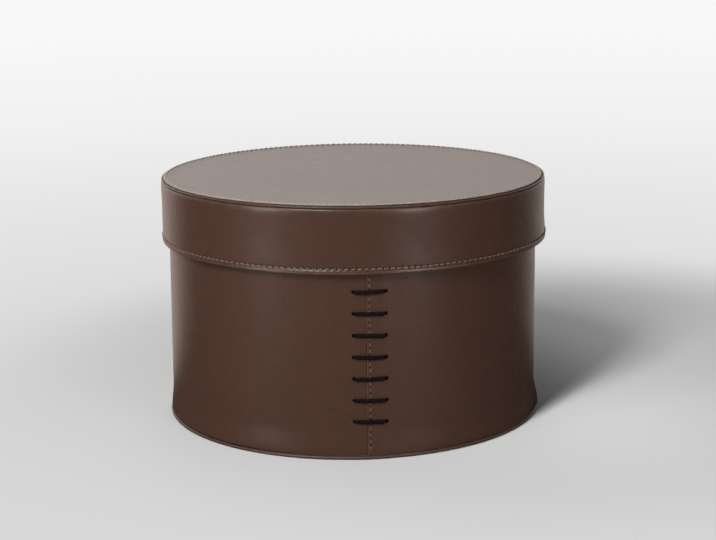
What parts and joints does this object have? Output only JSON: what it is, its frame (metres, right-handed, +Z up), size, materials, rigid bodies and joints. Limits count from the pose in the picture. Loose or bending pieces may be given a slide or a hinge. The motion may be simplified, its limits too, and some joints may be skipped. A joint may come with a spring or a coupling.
{
  "type": "round leather storage box with lift-off lid",
  "caption": "Round lidded leather box for papers and keepsakes: a stiff lined body with a laced lap seam, and a deep lift-off lid with piped and stitched edges.",
  "frame": {"origin": "the middle of the underside, on the floor", "axes": "+Z is up along the box's axis, -Y points out of the laced front seam, and +X is to the right seen from that front"},
  "size_m": [0.32, 0.32, 0.2],
  "materials": {
    "leather": "dark brown smooth leather with a fine grain and a soft sheen",
    "piping": "dark brown leather drawn over a cord",
    "lining": "matt tan suede cloth",
    "board": "plain grey-brown fibreboard",
    "thread": "waxed tan thread",
    "lace": "black round leather lace"
  },
  "bodies": {
    "body": {"base_leather": "leather", "base_board": "board", "base_lining": "lining", "base_piping": "piping", "body_wall_leather": "leather", "body_wall_board": "board", "body_wall_lining": "lining", "body_seam_thread": "thread", "body_rim_thread": "thread", "seam_lace_1": "lace", "seam_lace_2": "lace", "seam_lace_3": "lace", "seam_lace_4": "lace", "seam_lace_5": "lace", "seam_lace_6": "lace", "seam_lace_7": "lace"},
    "lid": {"lid_top_leather": "leather", "lid_top_board": "board", "lid_top_lining": "lining", "lid_top_thread": "thread", "lid_piping": "piping", "lid_side_leather": "leather", "lid_side_board": "board", "lid_side_lining": "lining", "lid_seam_thread": "thread", "lid_edge_thread": "thread"}
  },
  "joints": [
    {"name": "lid_lift", "type": "slide", "parent": "body", "child": "lid", "axis": [0, 0, 1], "range_m": [0, 0.12]}
  ]
}
